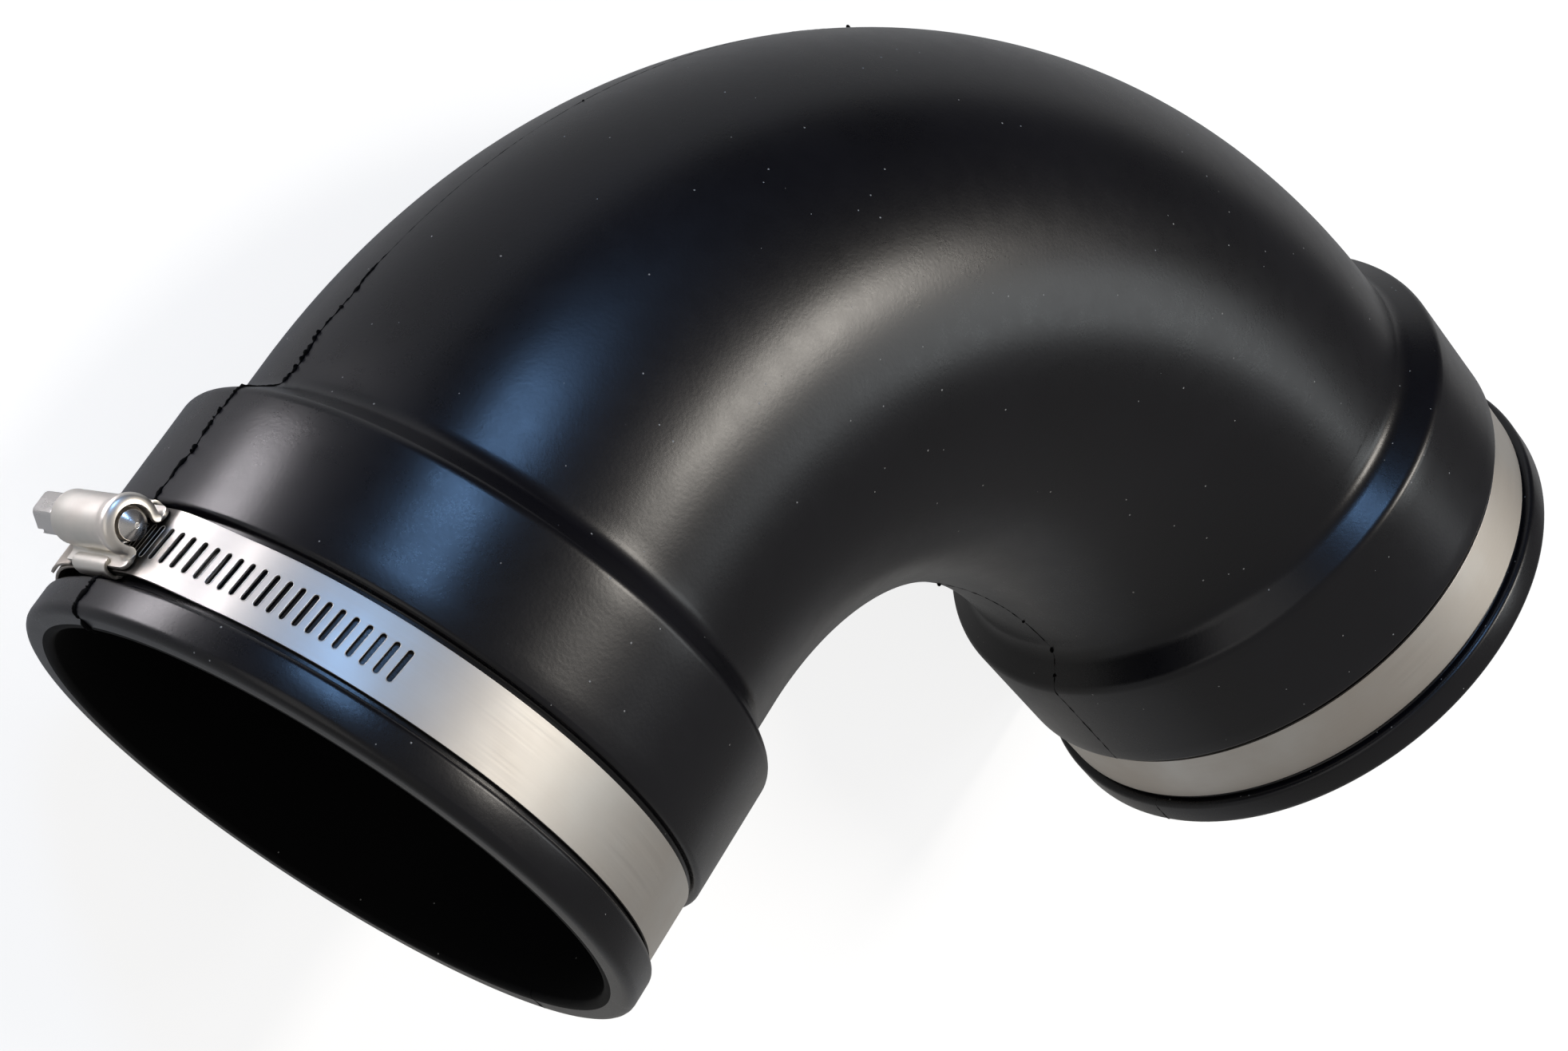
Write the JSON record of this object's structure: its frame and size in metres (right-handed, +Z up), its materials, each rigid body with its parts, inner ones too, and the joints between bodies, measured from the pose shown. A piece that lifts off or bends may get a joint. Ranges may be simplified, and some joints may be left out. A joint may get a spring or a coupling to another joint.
{
  "type": "rubber elbow pipe adapter",
  "caption": "Flexible black rubber elbow that joins two pipes at a right angle, with a stainless worm-drive band clamp in the groove at each mouth",
  "frame": {"origin": "on the floor plane under the middle of the bounding box, at the height of the elbow's lowest point", "axes": "+Z up, square to the plane of the bend; -Y out of mouth A; +X out of mouth B"},
  "size_m": [0.2466, 0.245, 0.1221],
  "materials": {
    "black_rubber": "moulded, satin, with a parting line",
    "clamp_a_band_steel": "bright rolled strip",
    "clamp_a_pressed_steel": "pressed sheet, softly brushed",
    "clamp_a_saddle_steel": "pressed sheet, softly brushed",
    "clamp_a_screw_steel": "turned, bright",
    "clamp_b_band_steel": "bright rolled strip",
    "clamp_b_pressed_steel": "pressed sheet, softly brushed",
    "clamp_b_saddle_steel": "pressed sheet, softly brushed",
    "clamp_b_screw_steel": "turned, bright"
  },
  "bodies": {
    "elbow": {"elbow_body": "black_rubber", "clamp_a_band": "clamp_a_band_steel", "clamp_a_housing": "clamp_a_pressed_steel", "clamp_a_saddle": "clamp_a_saddle_steel", "clamp_b_band": "clamp_b_band_steel", "clamp_b_housing": "clamp_b_pressed_steel", "clamp_b_saddle": "clamp_b_saddle_steel"},
    "screw_a": {"clamp_a_screw": "clamp_a_screw_steel"},
    "screw_b": {"clamp_b_screw": "clamp_b_screw_steel"}
  },
  "joints": [
    {"name": "worm_a", "type": "hinge", "parent": "elbow", "child": "screw_a", "pos_m": [-0.11837, -0.10752, 0.06018], "axis": [-0.0262, 0, -0.9997], "continuous": true},
    {"name": "worm_b", "type": "hinge", "parent": "elbow", "child": "screw_b", "pos_m": [0.10827, 0.10877, 0.01937], "axis": [0, 0.6691, 0.7431], "continuous": true}
  ]
}
